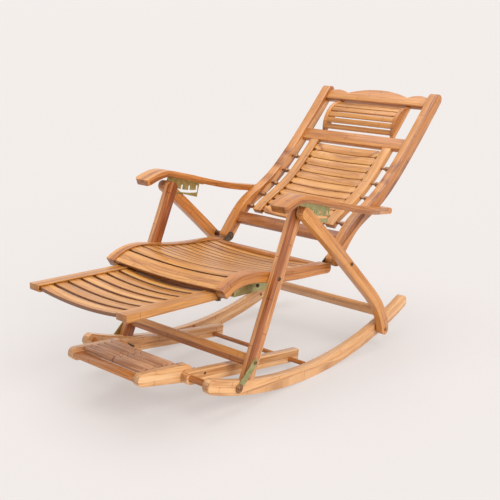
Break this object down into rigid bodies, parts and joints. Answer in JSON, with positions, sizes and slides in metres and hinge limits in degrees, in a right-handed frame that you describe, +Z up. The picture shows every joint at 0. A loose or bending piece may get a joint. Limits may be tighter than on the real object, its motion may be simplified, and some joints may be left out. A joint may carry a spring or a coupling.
{
  "type": "rocking chair",
  "caption": "Reclining bamboo rocking chair with notched armrests, a pull-out leg rest and a roller foot massager",
  "frame": {"origin": "On the floor, under the middle of the rockers and halfway along the chair.", "axes": "+X to the sitter's left, -Y the way the sitter faces, +Z up."},
  "size_m": [0.62, 1.3849, 0.795],
  "materials": {
    "bamboo_frame": "lacquered carbonised bamboo, darker frame tone",
    "bamboo_slat": "lacquered carbonised bamboo, lighter slat tone",
    "bamboo_pale": "lacquered bamboo, palest tone",
    "zinc_steel": "yellow zinc-plated steel",
    "dark_steel": "bronzed steel fasteners"
  },
  "bodies": {
    "frame": {"rocker_left": "bamboo_pale", "rocker_right": "bamboo_pale", "front_leg_left": "bamboo_frame", "front_leg_right": "bamboo_frame", "rear_leg_left": "bamboo_frame", "rear_leg_right": "bamboo_frame", "leg_stretcher": "bamboo_frame", "rear_crossbar": "bamboo_frame", "leg_straps": "zinc_steel", "leg_bolts": "zinc_steel", "front_rod": "bamboo_frame", "rear_rod": "bamboo_frame", "base_rail_left": "bamboo_pale", "base_rail_right": "bamboo_pale", "massager_stops": "dark_steel", "seat_rail_left": "bamboo_frame", "seat_rail_right": "bamboo_frame", "seat_rear_rail": "bamboo_frame", "seat_slats": "bamboo_slat", "seat_bolts": "dark_steel", "hinge_plates": "dark_steel", "plate_screws": "dark_steel", "spacer_tubes": "dark_steel", "hinge_bolts": "dark_steel", "leg_rest_guides": "zinc_steel", "leg_rest_clips": "dark_steel"},
    "backrest": {"back_rail_left": "bamboo_frame", "back_rail_right": "bamboo_frame", "lower_rail": "bamboo_frame", "mid_rail": "bamboo_frame", "crest_rail": "bamboo_frame", "panel_strip_left": "bamboo_slat", "panel_strip_right": "bamboo_slat", "panel_slats": "bamboo_slat", "panel_spacers": "dark_steel", "headrest_plate_left": "bamboo_frame", "headrest_plate_right": "bamboo_frame", "headrest_slats": "bamboo_slat", "armrest_pins": "dark_steel"},
    "armrest_left": {"armrest_left": "bamboo_frame", "notch_plate_left": "zinc_steel"},
    "armrest_right": {"armrest_right": "bamboo_frame", "notch_plate_right": "zinc_steel"},
    "leg_rest": {"leg_rest_rail_left": "bamboo_slat", "leg_rest_rail_right": "bamboo_slat", "leg_rest_slats": "bamboo_slat"},
    "massager": {"massager_side_left": "bamboo_pale", "massager_side_right": "bamboo_pale", "massager_front": "bamboo_pale", "roller_axles": "dark_steel"},
    "roller_1_left": {"roller_1_left": "bamboo_pale"},
    "roller_1_right": {"roller_1_right": "bamboo_pale"},
    "roller_2_left": {"roller_2_left": "bamboo_pale"},
    "roller_2_right": {"roller_2_right": "bamboo_pale"},
    "roller_3_left": {"roller_3_left": "bamboo_pale"},
    "roller_3_right": {"roller_3_right": "bamboo_pale"},
    "roller_4_left": {"roller_4_left": "bamboo_pale"},
    "roller_4_right": {"roller_4_right": "bamboo_pale"},
    "roller_5_left": {"roller_5_left": "bamboo_pale"},
    "roller_5_right": {"roller_5_right": "bamboo_pale"}
  },
  "joints": [
    {"name": "backrest_recline", "type": "hinge", "parent": "frame", "child": "backrest", "pos_m": [0, 0.121, 0.331], "axis": [1, 0, 0], "range_deg": [0, 40]},
    {"name": "armrest_left_pivot", "type": "hinge", "parent": "backrest", "child": "armrest_left", "pos_m": [0, 0.29947, 0.46377], "axis": [1, 0, 0], "range_deg": [-30, 0]},
    {"name": "armrest_right_pivot", "type": "hinge", "parent": "backrest", "child": "armrest_right", "pos_m": [0, 0.29947, 0.46377], "axis": [1, 0, 0], "range_deg": [-30, 0]},
    {"name": "leg_rest_slide", "type": "slide", "parent": "frame", "child": "leg_rest", "axis": [0, 0.9982, -0.0593], "range_m": [0, 0.28]},
    {"name": "massager_fold", "type": "hinge", "parent": "frame", "child": "massager", "pos_m": [0, -0.446, 0.10478], "axis": [1, 0, 0], "range_deg": [-115, 0]},
    {"name": "roller_1_left_spin", "type": "hinge", "parent": "massager", "child": "roller_1_left", "pos_m": [0, -0.47, 0.13594], "axis": [1, 0, 0], "continuous": true},
    {"name": "roller_1_right_spin", "type": "hinge", "parent": "massager", "child": "roller_1_right", "pos_m": [0, -0.47, 0.13594], "axis": [1, 0, 0], "continuous": true},
    {"name": "roller_2_left_spin", "type": "hinge", "parent": "massager", "child": "roller_2_left", "pos_m": [0, -0.4945, 0.13916], "axis": [1, 0, 0], "continuous": true},
    {"name": "roller_2_right_spin", "type": "hinge", "parent": "massager", "child": "roller_2_right", "pos_m": [0, -0.4945, 0.13916], "axis": [1, 0, 0], "continuous": true},
    {"name": "roller_3_left_spin", "type": "hinge", "parent": "massager", "child": "roller_3_left", "pos_m": [0, -0.519, 0.14239], "axis": [1, 0, 0], "continuous": true},
    {"name": "roller_3_right_spin", "type": "hinge", "parent": "massager", "child": "roller_3_right", "pos_m": [0, -0.519, 0.14239], "axis": [1, 0, 0], "continuous": true},
    {"name": "roller_4_left_spin", "type": "hinge", "parent": "massager", "child": "roller_4_left", "pos_m": [0, -0.5435, 0.14561], "axis": [1, 0, 0], "continuous": true},
    {"name": "roller_4_right_spin", "type": "hinge", "parent": "massager", "child": "roller_4_right", "pos_m": [0, -0.5435, 0.14561], "axis": [1, 0, 0], "continuous": true},
    {"name": "roller_5_left_spin", "type": "hinge", "parent": "massager", "child": "roller_5_left", "pos_m": [0, -0.568, 0.14883], "axis": [1, 0, 0], "continuous": true},
    {"name": "roller_5_right_spin", "type": "hinge", "parent": "massager", "child": "roller_5_right", "pos_m": [0, -0.568, 0.14883], "axis": [1, 0, 0], "continuous": true}
  ],
  "couplings": [
    {"joint": "armrest_left_pivot", "follows": "backrest_recline", "ratio": -0.75},
    {"joint": "armrest_right_pivot", "follows": "backrest_recline", "ratio": -0.75}
  ]
}
